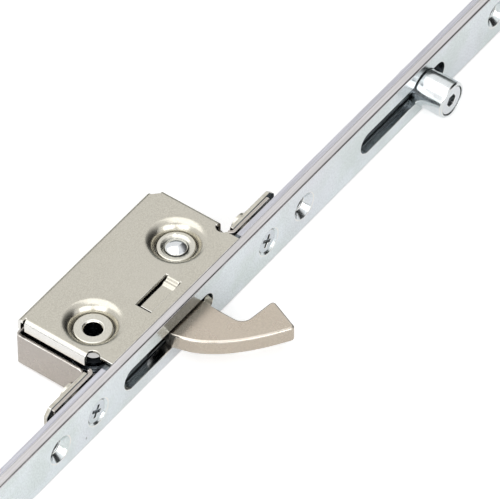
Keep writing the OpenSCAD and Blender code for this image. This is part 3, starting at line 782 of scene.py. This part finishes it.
class LOCK_OT_studio(bpy.types.Operator):
    """Camera, table, room and soft boxes"""

    bl_idname = "lock.studio"
    bl_label = "Studio"

    def execute(self, context):
        settings = context.scene.lock_studio
        level = settings.lamp_level
        table_z = cad_box[0].z
        context.scene.view_settings.view_transform = "Standard"
        white_world()
        add_camera(settings)
        add_table(table_z)
        add_room(settings, table_z)
        add_lamp("box_overhead", OVERHEAD_SIZE, OVERHEAD_PLACE, OVERHEAD_WATTS * level)
        add_lamp("box_left", SIDE_BOX_SIZE, LEFT_BOX_PLACE, SIDE_BOX_WATTS * level)
        add_lamp("box_front", SIDE_BOX_SIZE, FRONT_BOX_PLACE, SIDE_BOX_WATTS * level)
        return {"FINISHED"}


class LOCK_OT_finishes(bpy.types.Operator):
    """Metal finishes of all the pieces"""

    bl_idname = "lock.finishes"
    bl_label = "Finishes"

    def execute(self, context):
        make_finishes()
        missing = {slot for slot in SLOT_OF.values() if finish_name(slot) not in bpy.data.materials}
        if missing:
            raise RuntimeError(f"no finish for {sorted(missing)}")
        return {"FINISHED"}


class LOCK_OT_faceplate(bpy.types.Operator):
    """Flat strip with its slots and countersunk holes"""

    bl_idname = "lock.faceplate"
    bl_label = "Faceplate"

    def execute(self, context):
        skin("faceplate", context.scene.lock_edges.strip)
        return {"FINISHED"}


class LOCK_OT_drive_rail(bpy.types.Operator):
    """Sliding rail behind the faceplate"""

    bl_idname = "lock.drive_rail"
    bl_label = "Drive Rail"

    def execute(self, context):
        skin("drive_rail", context.scene.lock_edges.strip, segments=1)
        return {"FINISHED"}


class LOCK_OT_case_cover(bpy.types.Operator):
    """Upper pressed shell of the case, with dishes and lanced tongue"""

    bl_idname = "lock.case_cover"
    bl_label = "Case Cover"

    def execute(self, context):
        skin("case_cover", context.scene.lock_edges.sheet)
        return {"FINISHED"}


class LOCK_OT_case_tray(bpy.types.Operator):
    """Lower pressed shell of the case, with the two feet"""

    bl_idname = "lock.case_tray"
    bl_label = "Case Tray"

    def execute(self, context):
        skin("case_tray", context.scene.lock_edges.sheet)
        return {"FINISHED"}


class LOCK_OT_collars(bpy.types.Operator):
    """Pivot collars and guide buttons in the dishes"""

    bl_idname = "lock.collars"
    bl_label = "Collars"

    def execute(self, context):
        for kind in ("pivot_collar", "guide_button"):
            for shell in ("cover", "tray"):
                skin(f"{shell}_{kind}", context.scene.lock_edges.turned)
        return {"FINISHED"}


class LOCK_OT_foot_plates(bpy.types.Operator):
    """Bright plates behind the feet, with their press nuts"""

    bl_idname = "lock.foot_plates"
    bl_label = "Foot Plates"

    def execute(self, context):
        edges = context.scene.lock_edges
        skin("left_foot_plate", edges.plate)
        skin("right_foot_plate", edges.plate)
        skin("press_nuts", edges.turned)
        return {"FINISHED"}


class LOCK_OT_case_screws(bpy.types.Operator):
    """Countersunk screws with a cross recess, and their spacers"""

    bl_idname = "lock.case_screws"
    bl_label = "Case Screws"

    def execute(self, context):
        skin("case_screws", context.scene.lock_edges.small)
        dress("screw_spacers")
        return {"FINISHED"}


class LOCK_OT_hook(bpy.types.Operator):
    """Swinging hook with its pivot pin and washers"""

    bl_idname = "lock.hook"
    bl_label = "Hook"

    def execute(self, context):
        edges = context.scene.lock_edges
        skin("hook", edges.hook, segments=4, within=claw_edges, rub=CLAW_RUB)
        skin("hook_pin", edges.turned)
        dress("hook_washers")
        return {"FINISHED"}


class LOCK_OT_roller(bpy.types.Operator):
    """Roller sleeve on its eccentric stud, with the washers"""

    bl_idname = "lock.roller"
    bl_label = "Roller"

    def execute(self, context):
        edges = context.scene.lock_edges
        skin("roller_sleeve", edges.turned, segments=3)
        skin("roller_stud", edges.turned)
        dress("stud_washer")
        dress("stud_spring_washer")
        return {"FINISHED"}


class LOCK_PT_panel(bpy.types.Panel):
    """Lists the pieces of the lock, with their settings"""

    bl_label = "Lock"
    bl_idname = "LOCK_PT_panel"
    bl_space_type = "VIEW_3D"
    bl_region_type = "UI"
    bl_category = "Lock"

    def draw(self, context):
        for operator in OPERATORS:
            self.layout.operator(operator.bl_idname)
        scene = context.scene
        for group in (scene.lock_studio, scene.lock_finish, scene.lock_edges):
            for name in type(group).__annotations__:
                self.layout.prop(group, name)


OPERATORS = (
    LOCK_OT_studio,
    LOCK_OT_finishes,
    LOCK_OT_faceplate,
    LOCK_OT_drive_rail,
    LOCK_OT_case_cover,
    LOCK_OT_case_tray,
    LOCK_OT_collars,
    LOCK_OT_foot_plates,
    LOCK_OT_case_screws,
    LOCK_OT_hook,
    LOCK_OT_roller,
)
CLASSES = (FinishSettings, EdgeSettings, StudioSettings, *OPERATORS, LOCK_PT_panel)


def register():
    """Registers the classes and gives the scene its settings."""
    for cls in CLASSES:
        bpy.utils.register_class(cls)
    bpy.types.Scene.lock_finish = PointerProperty(type=FinishSettings)
    bpy.types.Scene.lock_edges = PointerProperty(type=EdgeSettings)
    bpy.types.Scene.lock_studio = PointerProperty(type=StudioSettings)


def unregister():
    """Takes the settings and the classes away again."""
    del bpy.types.Scene.lock_studio
    del bpy.types.Scene.lock_edges
    del bpy.types.Scene.lock_finish
    for cls in reversed(CLASSES):
        bpy.utils.unregister_class(cls)


def main():
    """Makes the studio, the finishes and the pieces."""
    register()
    bpy.ops.lock.studio()
    bpy.ops.lock.finishes()
    bpy.ops.lock.faceplate()
    bpy.ops.lock.drive_rail()
    bpy.ops.lock.case_cover()
    bpy.ops.lock.case_tray()
    bpy.ops.lock.collars()
    bpy.ops.lock.foot_plates()
    bpy.ops.lock.case_screws()
    bpy.ops.lock.hook()
    bpy.ops.lock.roller()


if __name__ == "__main__":
    main()
